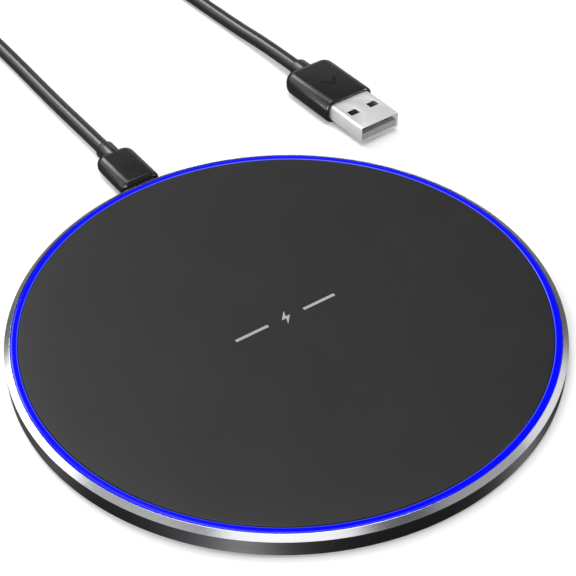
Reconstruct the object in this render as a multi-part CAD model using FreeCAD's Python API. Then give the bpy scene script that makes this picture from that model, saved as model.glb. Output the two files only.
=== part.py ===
import FreeCAD, Part
import math
import os

# Round wireless charging pad with a lit edge, and its USB lead.
# Millimetres. Origin at the centre of the pad on the surface that it stands on,
# +Z up, +Y out of the socket at the back, +X to the right of that.

V = FreeCAD.Vector
Z_AXIS = V(0, 0, 1)

# ---------------------------------------------------------------- driving dimensions

PAD_R = 60.0            # outside of the metal rim
PAD_TOP = 5.4           # charging surface above the table
FOOT_H = 0.6            # silicone foot below the base
CHAMFER = 1.3           # width of the rim's polished chamfer
CHAMFER_DROP = 0.9
RING_W = 1.7            # lit ring, between the chamfer and the top cover
GUIDE_W = 1.8           # flange of the light guide under the top cover
TOP_T = 1.0             # top cover
BASE_T = 0.8            # base cover
BOARD_T = 0.6
BOARD_Z = 2.4           # underside of the circuit board
SOCKET_Z = 2.55         # centre of the socket above the table

LEAD_D = 3.8            # round lead
MICRO_BACK = 80.0       # where the lead leaves the small plug, from the pad's centre
PLUG_A_BACK = (59.8, 81.1)      # where the lead leaves the large plug
PLUG_A_TURN = 1.8       # degrees that the large plug lies turned from -Y
SHELL_A_H = 4.5

COIL_CENTRE = (27.9, 198.6)     # of the lead's put-away turns
COIL_TURN_R = 22.2      # middle of the turns
COIL_PITCH = 3.9        # one turn to the next
COIL_TURNS = 5.5        # two layers, wound inwards and then outwards
TIE_T = 0.5

# ---------------------------------------------------------------- worked-out levels

BASE_Z = FOOT_H
BASE_IN = BASE_Z + BASE_T
TOP_IN = PAD_TOP - TOP_T
RING_OUT = PAD_R - CHAMFER
RING_IN = RING_OUT - RING_W
GUIDE_Z = 3.5           # underside of the light guide
GUIDE_IN = RING_IN - GUIDE_W
SHELF_IN = 57.4         # ledge of the rim under the light guide
BASE_R = 58.5
BOARD_TOP = BOARD_Z + BOARD_T
BOARD_R = 54.6
BOARD_HOLE_R = 27.5
BOSS_R = 50.0           # circle of the four screws
BOSS_ANGLES = (45, 135, 225, 315)
TURNS_OUT_R = COIL_TURN_R + COIL_PITCH * COIL_TURNS / 4
TURNS_IN_R = TURNS_OUT_R - COIL_PITCH * COIL_TURNS / 2
COIL_H = 2 * LEAD_D + 0.1 + TIE_T

nodes = {}


# ---------------------------------------------------------------- shape helpers

def ring(r_in, r_out, z0, z1):
    """A flat ring or, with no inner radius, a disc."""
    body = Part.makeCylinder(r_out, z1 - z0, V(0, 0, z0))
    if r_in:
        body = body.cut(Part.makeCylinder(r_in, z1 - z0, V(0, 0, z0)))
    return body


def block(x0, x1, y0, y1, z0, z1):
    return Part.makeBox(x1 - x0, y1 - y0, z1 - z0, V(x0, y0, z0))


def revolved(section):
    """A closed section of (radius, height) points, turned round the Z axis."""
    points = [V(r, 0, z) for r, z in section]
    face = Part.Face(Part.makePolygon(points + points[:1]))
    return face.revolve(V(0, 0, 0), Z_AXIS, 360)


def prism(outline, z0, z1):
    """A closed (x, y) outline, extruded from z0 to z1."""
    points = [V(x, y, z0) for x, y in outline]
    return Part.Face(Part.makePolygon(points + points[:1])).extrude(V(0, 0, z1 - z0))


def along_y(outline, y0, y1):
    """A closed (x, z) outline, extruded from y0 to y1."""
    points = [V(x, y0, z) for x, z in outline]
    return Part.Face(Part.makePolygon(points + points[:1])).extrude(V(0, y1 - y0, 0))


def rounded(shape, radius, wanted):
    """The shape with a fillet on each edge that wanted(edge) picks."""
    edges = [e for e in shape.Edges if wanted(e)]
    return shape.makeFillet(radius, edges)


def runs_along(axis):
    """Picks straight edges along X, Y or Z."""
    def wanted(edge):
        a, b = edge.Vertexes[0].Point, edge.Vertexes[-1].Point
        across = [abs(b.x - a.x), abs(b.y - a.y), abs(b.z - a.z)]
        return sum(across) - across["XYZ".index(axis)] < 1e-6 < across["XYZ".index(axis)]
    return wanted


def at_y(y):
    """Picks edges that lie wholly in the plane at that y."""
    return lambda edge: all(abs(v.Point.y - y) < 1e-6 for v in edge.Vertexes)


def turned(shape, degrees, centre=(0, 0, 0)):
    copy = shape.copy()
    copy.rotate(V(*centre), Z_AXIS, degrees)
    return copy


def around(shape, degrees):
    """Copies of a shape, turned about the pad's centre, as one group of solids."""
    return Part.makeCompound([turned(shape, d) for d in degrees])


def rounded_path(points, share=0.45, name=None):
    """Straight runs joined by tangent arcs, each as large as its two runs allow."""
    points = [V(*p) for p in points]
    edges, start, radii = [], points[0], []
    for before, corner, after in zip(points, points[1:], points[2:]):
        back, ahead = before - corner, after - corner
        reach = share * min(back.Length, ahead.Length)
        half = (math.pi - back.getAngle(ahead)) / 2
        radius = reach / math.tan(half)
        radii.append(radius)
        back.normalize()
        ahead.normalize()
        inward = (back + ahead).normalize()
        first, last = corner + back * reach, corner + ahead * reach
        middle = corner + inward * (radius / math.cos(half) - radius)
        edges.append(Part.LineSegment(start, first).toShape())
        edges.append(Part.Arc(first, middle, last).toShape())
        start = last
    edges.append(Part.LineSegment(start, points[-1]).toShape())
    if name:
        print(name, "radii", [round(r) for r in radii])
    return Part.Wire(edges)


def tube(points, radius, name=None):
    """A round rod along a rounded path."""
    path = rounded_path(points, name=name)
    heading = V(*points[1]) - V(*points[0])
    section = Part.Wire(Part.Circle(V(*points[0]), heading, radius).toShape())
    body = path.makePipeShell([section], True, False)
    if name:
        ratio = body.Volume / (path.Length * math.pi * radius ** 2)
        print(name, "length %.1f, volume against section times length %.4f" % (path.Length, ratio))
    return body


def chevron(tip_y, z0, z1, width, depth, bar):
    """A flat arrow head that points along -Y, with its tip at x 0."""
    half = width / 2
    outline = [(0, tip_y), (half, tip_y + depth), (half, tip_y + depth + bar),
               (0, tip_y + bar), (-half, tip_y + depth + bar), (-half, tip_y + depth)]
    return prism(outline, z0, z1)


# ---------------------------------------------------------------- pad: case

SOCKET_CUT = (4.1, 1.45)        # half width and half height of the rim's socket cut-out
MARK_DEPTH = 0.06               # of the ink inlay in the top cover
MARK_HALF = 12.8
MARK_BAR = (4.6, 0.38)          # where a bar of the mark starts, and half its width
BOLT_SHAPE = [(0.38, 1.0), (-0.62, -0.14), (-0.06, -0.14),
              (-0.38, -1.0), (0.62, 0.14), (0.06, 0.14)]
BOLT_HALF = 2.0
FOOT_IN, FOOT_OUT, FOOT_TOP = 38.0, 44.5, 0.9   # foot ring and its groove


def charge_mark():
    """Ink inlay of the top cover: a plain bolt between two bars."""
    z0 = PAD_TOP - MARK_DEPTH
    start, half = MARK_BAR
    bolt = prism([(x * BOLT_HALF, y * BOLT_HALF) for x, y in BOLT_SHAPE], z0, PAD_TOP)
    bars = [block(a, b, -half, half, z0, PAD_TOP)
            for a, b in ((start, MARK_HALF), (-MARK_HALF, -start))]
    return Part.makeCompound([bolt] + bars)


def rim_frame():
    """Turned aluminium rim: side wall, chamfer, ledge for the light guide, seat for the base."""
    body = revolved([
        (BASE_R, BASE_Z), (PAD_R, BASE_Z), (PAD_R, PAD_TOP - CHAMFER_DROP), (RING_OUT, PAD_TOP),
        (RING_OUT, GUIDE_Z), (SHELF_IN, GUIDE_Z), (SHELF_IN, BASE_IN), (BASE_R, BASE_IN)])
    half, high = SOCKET_CUT
    return body.cut(block(-half, half, 50, 61, SOCKET_Z - high, SOCKET_Z + high))


def light_ring():
    """Clear light guide: the lit ring in the top face, and a flange that the lamps shine into."""
    body = revolved([
        (RING_IN, PAD_TOP), (RING_OUT, PAD_TOP), (RING_OUT, GUIDE_Z), (GUIDE_IN, GUIDE_Z),
        (GUIDE_IN, TOP_IN), (RING_IN, TOP_IN)])
    half, high = SOCKET_CUT
    return body.cut(block(-half - 0.8, half + 0.8, 50, 61, 0, SOCKET_Z + high + 0.1))


def top_cover():
    """Soft-touch plastic disc with four screw bosses under it."""
    body = ring(0, RING_IN, TOP_IN, PAD_TOP)
    for angle in BOSS_ANGLES:
        boss = ring(0.7, 2.2, BASE_IN, TOP_IN)
        boss.translate(V(BOSS_R, 0, 0))
        body = body.fuse(turned(boss, angle))
    return body.removeSplitter().cut(charge_mark())


def base_cover():
    """Plastic base with ribs under the board, a groove for the foot and countersunk holes."""
    body = ring(0, BASE_R, BASE_Z, BASE_IN)
    for r_in in (28.2, 52.2):
        body = body.fuse(ring(r_in, r_in + 1.0, BASE_IN, BOARD_Z))
    body = body.cut(ring(FOOT_IN, FOOT_OUT, BASE_Z, FOOT_TOP))
    body = body.cut(block(-4.2, 4.2, 52.0, BASE_R + 1, SOCKET_Z - 1.35, BOARD_Z))
    for angle in BOSS_ANGLES:
        hole = Part.makeCylinder(0.8, BASE_T, V(BOSS_R, 0, BASE_Z))
        sink = Part.makeCone(1.55, 0.8, 0.7, V(BOSS_R, 0, BASE_Z))
        relief = ring(0, 2.4, BASE_IN, BOARD_Z)
        relief.translate(V(BOSS_R, 0, 0))
        body = body.cut(turned(hole.fuse(sink), angle)).cut(turned(relief, angle))
    return body


def foot_ring():
    """Silicone anti-slip ring, bonded in the base's groove, with rounded lower edges."""
    body = ring(FOOT_IN, FOOT_OUT, 0, FOOT_TOP)
    return rounded(body, 0.3, lambda e: abs(e.BoundBox.ZMax) < 1e-6)


def case_screws():
    """Four countersunk self-tapping screws with cross recesses."""
    head = Part.makeCone(1.5, 0.7, 0.7, V(BOSS_R, 0, BASE_Z))
    shank = Part.makeCylinder(0.7, 2.8, V(BOSS_R, 0, BASE_Z + 0.7))
    screw = head.fuse(shank)
    for long_x, long_y in ((0.75, 0.16), (0.16, 0.75)):
        screw = screw.cut(block(BOSS_R - long_x, BOSS_R + long_x, -long_y, long_y,
                                BASE_Z, BASE_Z + 0.35))
    return around(screw, BOSS_ANGLES)


def rating_label():
    """Blank label on the base."""
    body = block(-20, 20, -12, 12, BASE_Z - 0.1, BASE_Z)
    return rounded(body, 2.5, runs_along("Z"))


def reflector_strip():
    """White film that turns stray light back up into the guide."""
    body = ring(GUIDE_IN, SHELF_IN - 0.1, GUIDE_Z - 0.12, GUIDE_Z)
    return body.cut(block(-5, 5, 50, 61, 0, 5))


nodes["rim_frame"] = rim_frame()
nodes["light_ring"] = light_ring()
nodes["top_cover"] = top_cover()
nodes["charge_mark"] = charge_mark()
nodes["base_cover"] = base_cover()
nodes["foot_ring"] = foot_ring()
nodes["case_screws"] = case_screws()
nodes["rating_label"] = rating_label()
nodes["reflector_strip"] = reflector_strip()

# ---------------------------------------------------------------- pad: charging coil

WIRE_R = 0.55
WINDING_IN = 10.8       # middle of the innermost turn
WINDING_PITCH = 1.15
WINDING_TURNS = 10
FERRITE_Z = (1.7, 2.6)
WINDING_Z = FERRITE_Z[1] + WIRE_R
LEAD_WIRE_R = 0.32
LEAD_OVER_Z = 4.05      # height of the inner end where it crosses the turns


def coil_winding():
    """Flat spiral of half circles: their centres alternate, and each is half a pitch larger."""
    edges, start = [], V(WINDING_IN, 0, WINDING_Z)
    for i in range(2 * WINDING_TURNS):
        radius = WINDING_IN + i * WINDING_PITCH / 2
        centre_x, side = (0, 1) if i % 2 == 0 else (WINDING_PITCH / 2, -1)
        middle = V(centre_x, side * radius, WINDING_Z)
        end = V(centre_x - side * radius, 0, WINDING_Z)
        edges.append(Part.Arc(start, middle, end).toShape())
        start = end
    section = Part.Wire(Part.Circle(V(WINDING_IN, 0, WINDING_Z), V(0, 1, 0), WIRE_R).toShape())
    return Part.Wire(edges).makePipeShell([section], True, False)


def coil_leads():
    """Both ends of the winding, the inner one led out over the turns to the board."""
    outer_x = WINDING_IN + WINDING_TURNS * WINDING_PITCH
    inner = tube([(WINDING_IN, 0, WINDING_Z), (WINDING_IN - 0.1, -1.6, WINDING_Z),
                  (9.4, -3.6, LEAD_OVER_Z), (12.6, -6.4, LEAD_OVER_Z), (19, -7.1, LEAD_OVER_Z),
                  (26, -7.5, LEAD_OVER_Z), (30.0, -8.2, BOARD_TOP + LEAD_WIRE_R)], LEAD_WIRE_R)
    outer = tube([(outer_x, 0, WINDING_Z), (outer_x + 0.3, 2.6, WINDING_Z),
                  (26, 4.8, BOARD_TOP + 0.8), (30.0, 5.4, BOARD_TOP + LEAD_WIRE_R)], LEAD_WIRE_R)
    return Part.makeCompound([inner, outer])


def solder_joints():
    """Domes of solder where the coil's ends meet the board."""
    domes = []
    for y in (-8.2, 5.4):
        dome = Part.makeSphere(1.15, V(31.0, y, BOARD_TOP - 0.25))
        domes.append(dome.common(block(29, 33, y - 2, y + 2, BOARD_TOP, BOARD_TOP + 1)))
    joints = Part.makeCompound(domes)
    return joints.cut(nodes["coil_leads"])


def thermistor():
    """Glass bead that reads the coil's temperature, on its two thin wires."""
    return Part.makeSphere(0.75, V(0, 0, FERRITE_Z[1] + 0.75))


def thermistor_leads():
    """Two enamelled wires from the bead, over the turns, to the board."""
    wires = []
    for side in (-1, 1):
        y = 0.35 * side
        wires.append(tube([(-0.4, y, WINDING_Z + 0.2), (-3.6, y, WINDING_Z + 0.4),
                           (-8.6, y * 1.4, LEAD_OVER_Z - 0.15), (-17, y * 1.5, LEAD_OVER_Z - 0.15),
                           (-24.5, y * 1.6, LEAD_OVER_Z - 0.2),
                           (-30, y * 3, BOARD_TOP + 0.15)], 0.15))
    return Part.makeCompound(wires).cut(nodes["thermistor"])


nodes["foam_pad"] = ring(0, 24.0, BASE_IN, FERRITE_Z[0])
nodes["ferrite_sheet"] = ring(0, 25.0, *FERRITE_Z)
nodes["coil_winding"] = coil_winding()
nodes["coil_leads"] = coil_leads()
nodes["solder_joints"] = solder_joints()
nodes["thermistor"] = thermistor()
nodes["thermistor_leads"] = thermistor_leads()

# ---------------------------------------------------------------- pad: circuit board

LAMP_R = 53.8
LAMP_ANGLES = [7.5 + 15 * i for i in range(24)]


def on_board(angle, radius, width, depth, height):
    """A chip on the board, with its width across the radius."""
    body = block(radius - depth / 2, radius + depth / 2, -width / 2, width / 2,
                 BOARD_TOP, BOARD_TOP + height)
    return turned(body, angle)


def capped_chip(angle, radius, width, depth, height):
    """The ceramic middle of a chip part, between its two metal ends."""
    return on_board(angle, radius, width * 0.62, depth, height)


def main_board():
    """Ring-shaped board with holes for the screw bosses and a notch for the socket."""
    body = ring(BOARD_HOLE_R, BOARD_R, BOARD_Z, BOARD_TOP)
    for angle in BOSS_ANGLES:
        hole = Part.makeCylinder(2.5, BOARD_T, V(BOSS_R, 0, BOARD_Z))
        body = body.cut(turned(hole, angle))
    return body.cut(block(-3.9, 3.9, 53.0, 56, 0, 5))


def lamps():
    """White side-emitting lamp bodies round the edge of the board."""
    return Part.makeCompound([on_board(a, LAMP_R, 2.8, 1.0, 1.0) for a in LAMP_ANGLES])


def lamp_windows():
    """Clear window on the outer side of each lamp."""
    return Part.makeCompound([on_board(a, LAMP_R + 0.575, 2.0, 0.15, 0.8) for a in LAMP_ANGLES])


CHIP_CAPS = [(angle, 40.0 + 3.4 * (i % 2)) for i, angle in enumerate((8, 14, 20, 26, 32))]
INPUT_CAPS = [(78, 47.0), (84, 47.0), (96, 47.0)]
RESISTORS = [(a, r) for a in (62, 67, 113, 118, 123, 158, 163, 168, 205, 210, 240, 300)
             for r in (36.0, 39.0)]
CHIP_GROUPS = [(CHIP_CAPS, 3.2, 1.6, 1.25), (INPUT_CAPS, 2.0, 1.25, 1.2),
               (RESISTORS, 1.6, 0.8, 0.45)]


def chips(places, width, depth, height):
    """Bodies of a group of chip parts, without their metal ends."""
    return Part.makeCompound([capped_chip(a, r, width, depth, height) for a, r in places])


def chip_ends():
    """Tinned ends of every capacitor and resistor."""
    ends = []
    for places, width, depth, height in CHIP_GROUPS:
        for angle, radius in places:
            for side in (-1, 1):
                shift = side * width * 0.405
                end = block(radius - depth / 2, radius + depth / 2,
                            shift - width * 0.095, shift + width * 0.095,
                            BOARD_TOP, BOARD_TOP + height)
                ends.append(turned(end, angle))
    return Part.makeCompound(ends)


DRIVERS = ((348, 41.0), (334, 41.0))


def driver_legs():
    """Gull-wing legs on the two long sides of each driver chip."""
    legs = []
    for angle, radius in DRIVERS:
        for side in (-1, 1):
            for i in range(4):
                across = (i - 1.5) * 1.27
                near, far = sorted((side * 1.95, side * 2.9))
                foot = block(radius + near, radius + far, across - 0.2, across + 0.2,
                             BOARD_TOP, BOARD_TOP + 0.18)
                rise = block(radius + min(side * 1.95, side * 2.15),
                             radius + max(side * 1.95, side * 2.15), across - 0.2, across + 0.2,
                             BOARD_TOP + 0.18, BOARD_TOP + 0.7)
                legs.append(turned(foot.fuse(rise), angle))
    return Part.makeCompound(legs)


def power_inductor():
    """Square moulded choke with a round top."""
    body = block(-2.5, 2.5, -2.5, 2.5, BOARD_TOP, BOARD_TOP + 0.9)
    body = rounded(body, 0.8, runs_along("Z"))
    body = body.fuse(ring(0, 2.2, BOARD_TOP + 0.9, BOARD_TOP + 1.2))
    body.translate(V(38.5, 0, 0))
    return turned(body, 72)


nodes["main_board"] = main_board()
nodes["lamps"] = lamps()
nodes["lamp_windows"] = lamp_windows()
nodes["controller_chip"] = on_board(100, 37.5, 5.0, 5.0, 0.85)
nodes["driver_chips"] = Part.makeCompound([on_board(a, r, 4.9, 3.9, 1.2) for a, r in DRIVERS])
nodes["driver_legs"] = driver_legs()
nodes["resonance_capacitors"] = chips(*CHIP_GROUPS[0])
nodes["input_capacitors"] = chips(*CHIP_GROUPS[1])
nodes["resistors"] = chips(*CHIP_GROUPS[2])
nodes["chip_ends"] = chip_ends()
nodes["power_inductor"] = power_inductor()
nodes["clock_crystal"] = rounded(on_board(0, 33.0, 3.2, 2.5, 0.7), 0.3, runs_along("Z"))
nodes["clock_crystal"] = turned(nodes["clock_crystal"], 132)

# ---------------------------------------------------------------- pad: socket

SOCKET_BACK, SOCKET_MOUTH = 53.2, 59.2
TONGUE_Z = (2.36, 2.90)
PIN_PITCH = 0.65


def trapezium(width, height, corner):
    """(x, z) outline of a small USB profile: its two lower corners are cut off."""
    half, high = width / 2, height / 2
    return [(-half, SOCKET_Z + high), (half, SOCKET_Z + high), (half, SOCKET_Z - high + corner),
            (half - corner, SOCKET_Z - high), (-half + corner, SOCKET_Z - high),
            (-half, SOCKET_Z - high + corner)]


def pins(y0, y1, z0, z1):
    """Five contact strips side by side."""
    places = [(i - 2) * PIN_PITCH for i in range(5)]
    return Part.makeCompound([block(x - 0.2, x + 0.2, y0, y1, z0, z1) for x in places])


def port_shell():
    """Steel shell of the socket, with a flared mouth and two soldered tabs."""
    body = along_y(trapezium(7.5, 2.45, 0.9), SOCKET_BACK, SOCKET_MOUTH)
    body = body.fuse(along_y(trapezium(7.9, 2.75, 1.0), SOCKET_MOUTH, SOCKET_MOUTH + 0.25))
    for side in (-1, 1):
        near, far = sorted((side * 3.7, side * 4.9))
        body = body.fuse(block(near, far, SOCKET_BACK, SOCKET_BACK + 1.2,
                               BOARD_TOP, BOARD_TOP + 0.25))
    return body.cut(along_y(trapezium(7.0, 1.97, 0.72), SOCKET_BACK, SOCKET_MOUTH + 1))


def port_tongue():
    """Moulded back of the socket with the tongue that carries its contacts."""
    back = along_y(trapezium(7.0, 1.97, 0.72), SOCKET_BACK, SOCKET_BACK + 1.2)
    tongue = block(-1.95, 1.95, SOCKET_BACK + 1.2, 58.4, *TONGUE_Z)
    return back.fuse(tongue)


nodes["port_shell"] = port_shell()
nodes["port_tongue"] = port_tongue()
nodes["port_contacts"] = pins(SOCKET_BACK + 1.2, 58.1, TONGUE_Z[0] - 0.06, TONGUE_Z[0])

# ---------------------------------------------------------------- lead: small plug

MICRO_TIP = 55.4
MICRO_FACE = 61.3       # front of the plug's grip
MICRO_GRIP_END = 76.3
MICRO_HALF = (5.1, 2.45)        # half width and half height of the grip
MICRO_WALL = 0.25
MICRO_DEEP = 66.0       # how far the steel shell reaches into the grip
MICRO_MARK_Y = 65.0


def micro_shell():
    """Folded steel shell with two small windows for the latches."""
    body = along_y(trapezium(6.85, 1.8, 0.65), MICRO_TIP, MICRO_DEEP)
    hollow = along_y(trapezium(6.85 - 2 * MICRO_WALL, 1.8 - 2 * MICRO_WALL, 0.5),
                     MICRO_TIP, MICRO_DEEP)
    body = body.cut(hollow)
    for x in (-1.9, 1.9):
        body = body.cut(block(x - 0.45, x + 0.45, 56.6, 58.4, 1.4, 2.0))
    return body


def micro_insert():
    """Moulded block inside the shell, with the slot that the socket's tongue enters."""
    body = along_y(trapezium(6.85 - 2 * MICRO_WALL, 1.8 - 2 * MICRO_WALL, 0.5),
                   MICRO_TIP + 0.4, MICRO_DEEP)
    body = body.cut(block(-2.2, 2.2, MICRO_TIP, 58.9, 2.14, 3.0))
    for x in (-1.9, 1.9):
        body = body.cut(block(x - 0.5, x + 0.5, 56.2, 60.5, 1.5, 2.08))
    return body


def micro_latches():
    """Two sprung hooks that hold the plug in its socket."""
    hooks = []
    for x in (-1.9, 1.9):
        arm = block(x - 0.35, x + 0.35, 57.0, 60.5, 1.92, 2.06)
        hook = block(x - 0.35, x + 0.35, 57.0, 57.8, 1.6, 1.92)
        hooks.append(arm.fuse(hook))
    return Part.makeCompound(hooks)


def micro_inner_mould():
    """Hard inner moulding round the soldered wires."""
    return block(-3.6, 3.6, MICRO_DEEP, 72.5, 1.0, 4.1)


def micro_overmould():
    """Soft grip: rounded block with a narrower neck."""
    half, high = MICRO_HALF
    body = block(-half, half, MICRO_FACE, MICRO_GRIP_END, SOCKET_Z - high, SOCKET_Z + high)
    body = rounded(body, 2.7, lambda e: runs_along("Z")(e) and e.BoundBox.YMin > MICRO_FACE + 1)
    body = rounded(body, 2.3, lambda e: abs(e.BoundBox.ZLength) < 1e-6 and not at_y(MICRO_FACE)(e))
    body = rounded(body, 0.35, at_y(MICRO_FACE))
    inside = along_y(trapezium(6.85, 1.8, 0.65), MICRO_FACE, MICRO_DEEP)
    return body.cut(inside).cut(nodes["micro_inner_mould"]).cut(nodes["micro_mark"])


def relief(z, y0, y1, radius):
    """Strain relief: a plain round collar with a rounded end, where the lead comes out."""
    body = Part.makeCylinder(radius, y1 - y0, V(0, y0, z), V(0, 1, 0))
    return rounded(body, 0.5, at_y(y1))


nodes["micro_shell"] = micro_shell()
nodes["micro_insert"] = micro_insert()
nodes["micro_contacts"] = pins(56.2, 58.9, 2.14, 2.22)
nodes["micro_latches"] = micro_latches()
nodes["micro_inner_mould"] = micro_inner_mould()
MARK_Z = SOCKET_Z + MICRO_HALF[1]
nodes["micro_mark"] = chevron(MICRO_MARK_Y, MARK_Z - 0.12, MARK_Z, 3.0, 1.6, 1.0)
nodes["micro_overmould"] = micro_overmould()
nodes["micro_relief"] = relief(SOCKET_Z, MICRO_GRIP_END, MICRO_BACK, 2.45)

# ---------------------------------------------------------------- lead: large plug
# Made pointing along -Y with the lead's end at its local origin, then laid in its place.

A_RELIEF = 2.9          # length of the collar
A_GRIP = 19.4
A_SHELL = 12.4          # bare length of the steel shell
A_SHELL_W = 12.0
A_WALL = 0.32
A_HALF = (7.5, 3.35)    # half width and half height of the grip
A_CENTRE_Z = 3.4
A_TIP = -(A_RELIEF + A_GRIP + A_SHELL)
A_FACE = -(A_RELIEF + A_GRIP)
A_DEEP = A_FACE + 6.0
A_WINDOW = (3.1, 2.8, 2.2)      # centre from the middle, width, length
A_WINDOW_Y = A_TIP + 6.9
A_TONGUE_Z = (A_CENTRE_Z - SHELL_A_H / 2 + A_WALL, A_CENTRE_Z - 0.1)


def laid(shape):
    """Moves a piece of the large plug from its own frame to where it lies."""
    copy = turned(shape, PLUG_A_TURN)
    copy.translate(V(*PLUG_A_BACK, 0))
    return copy


def plug_a_profile(shrink, y0, y1):
    body = block(-A_SHELL_W / 2 + shrink, A_SHELL_W / 2 - shrink, y0, y1,
                 A_CENTRE_Z - SHELL_A_H / 2 + shrink, A_CENTRE_Z + SHELL_A_H / 2 - shrink)
    return rounded(body, 0.6 - 0.8 * shrink, runs_along("Y"))


def plug_a_shell():
    """Folded steel shell, open at the front, with four latch windows."""
    body = plug_a_profile(0, A_TIP, A_DEEP).cut(plug_a_profile(A_WALL, A_TIP, A_DEEP))
    off, width, length = A_WINDOW
    for x in (-off, off):
        body = body.cut(block(x - width / 2, x + width / 2, A_WINDOW_Y - length / 2,
                              A_WINDOW_Y + length / 2, 0, 8))
    return body


def plug_a_tongue():
    """Moulded tongue in the lower half of the shell, and the block behind it."""
    half = A_SHELL_W / 2 - A_WALL
    core = plug_a_profile(A_WALL, A_TIP + 0.5, A_DEEP)
    hollow = block(-half, half, A_TIP, A_FACE - 2.0, A_TONGUE_Z[1], 8)
    return core.cut(hollow)


def plug_a_contacts():
    """Four strips: the outer two reach further forward than the inner two."""
    strips = []
    for x, front in ((-3.5, 1.4), (-1.0, 2.4), (1.0, 2.4), (3.5, 1.4)):
        strips.append(block(x - 0.5, x + 0.5, A_TIP + front, A_FACE - 2.0,
                            A_TONGUE_Z[1], A_TONGUE_Z[1] + 0.15))
    return Part.makeCompound(strips)


def plug_a_inner_mould():
    """Hard inner moulding behind the shell."""
    return block(-5.6, 5.6, A_DEEP, -A_RELIEF - 3.0, A_CENTRE_Z - 2.4, A_CENTRE_Z + 2.4)


def plug_a_overmould(mark):
    """Soft grip: a rounded block that narrows over its rear corners."""
    half, high = A_HALF
    body = block(-half, half, A_FACE, -A_RELIEF, A_CENTRE_Z - high, A_CENTRE_Z + high)
    body = rounded(body, 3.2, lambda e: runs_along("Z")(e) and e.BoundBox.YMin > A_FACE + 1)
    body = rounded(body, 2.9, lambda e: abs(e.BoundBox.ZLength) < 1e-6 and not at_y(A_FACE)(e))
    body = rounded(body, 0.4, at_y(A_FACE))
    body = body.cut(plug_a_profile(0, A_FACE, A_DEEP))
    return body.cut(plug_a_inner_mould()).cut(mark)


a_mark_z = A_CENTRE_Z + A_HALF[1]
a_mark = chevron(A_FACE + 6.0, a_mark_z - 0.12, a_mark_z, 4.4, 2.4, 1.4)
nodes["plug_a_shell"] = laid(plug_a_shell())
nodes["plug_a_tongue"] = laid(plug_a_tongue())
nodes["plug_a_contacts"] = laid(plug_a_contacts())
nodes["plug_a_inner_mould"] = laid(plug_a_inner_mould())
nodes["plug_a_mark"] = laid(a_mark)
nodes["plug_a_overmould"] = laid(plug_a_overmould(a_mark))
nodes["plug_a_relief"] = laid(relief(A_CENTRE_Z, -A_RELIEF, 0, 2.75))

# ---------------------------------------------------------------- lead: cord, turns and tie

LEAD_R = LEAD_D / 2
COIL_X, COIL_Y = COIL_CENTRE
ENTRY_X = COIL_X - TURNS_OUT_R
EXIT_X = COIL_X + TURNS_OUT_R
TOP_LAYER_Z = 3 * LEAD_R + 0.1

# From the small plug back along +Y, settling on to the table, to the turns' left side.
PAD_RUN = [
    (0, MICRO_BACK, SOCKET_Z), (0.0, 91, SOCKET_Z - 0.1), (0.1, 107, LEAD_R), (0.5, 136, LEAD_R),
    (-0.1, 167, LEAD_R), (ENTRY_X, COIL_Y, LEAD_R)]

# From the turns' right side, down to the table and forward to the large plug.
PLUG_RUN = [
    (EXIT_X, COIL_Y, TOP_LAYER_Z), (EXIT_X + 0.1, 184, TOP_LAYER_Z - 0.8),
    (EXIT_X + 1.1, 160, LEAD_R), (57.9, 134, LEAD_R), (59.2, 110, LEAD_R),
    (59.6, 95, A_CENTRE_Z - 0.3), (*PLUG_A_BACK, A_CENTRE_Z)]


def tie_band():
    """Flat twist tie round the bundle on the side of the coil nearest the pad."""
    near, far = COIL_Y - TURNS_OUT_R - LEAD_R - 0.2, COIL_Y - TURNS_IN_R + LEAD_R + 0.2
    outer = block(COIL_X - 2, COIL_X + 2, near - TIE_T, far + TIE_T, 0, COIL_H + TIE_T)
    inner = block(COIL_X - 2, COIL_X + 2, near, far, TIE_T, COIL_H)
    return outer.cut(inner)


def cable_tie():
    """The band and its twisted ends, which lie on the coil."""
    tail = Part.makeCylinder(0.75, 12, V(COIL_X + 2, COIL_Y - COIL_TURN_R, COIL_H + 0.8),
                             V(0.94, 0.34, 0))
    knot = block(COIL_X + 1, COIL_X + 3, COIL_Y - COIL_TURN_R - 1, COIL_Y - COIL_TURN_R + 1,
                 COIL_H, COIL_H + 1.4)
    return tie_band().fuse(knot).fuse(tail)


def cable_coil():
    """Outer shape of the wound turns."""
    body = ring(TURNS_IN_R - LEAD_R, TURNS_OUT_R + LEAD_R, 0, COIL_H)
    body.translate(V(COIL_X, COIL_Y, 0))
    return body.cut(nodes["cable_tie"])


nodes["cable_tie"] = cable_tie()
nodes["cable_pad_run"] = tube(PAD_RUN, LEAD_R, "cable_pad_run")
nodes["cable_coil"] = cable_coil()
nodes["cable_plug_run"] = tube(PLUG_RUN, LEAD_R, "cable_plug_run")

# ---------------------------------------------------------------- one file per node

os.makedirs("parts", exist_ok=True)
for node, shape in nodes.items():
    if not shape.isValid() or not shape.Solids:
        print("check this node:", node)
    shape.exportStep("parts/%s.step" % node)
print(len(nodes), "nodes")
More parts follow.
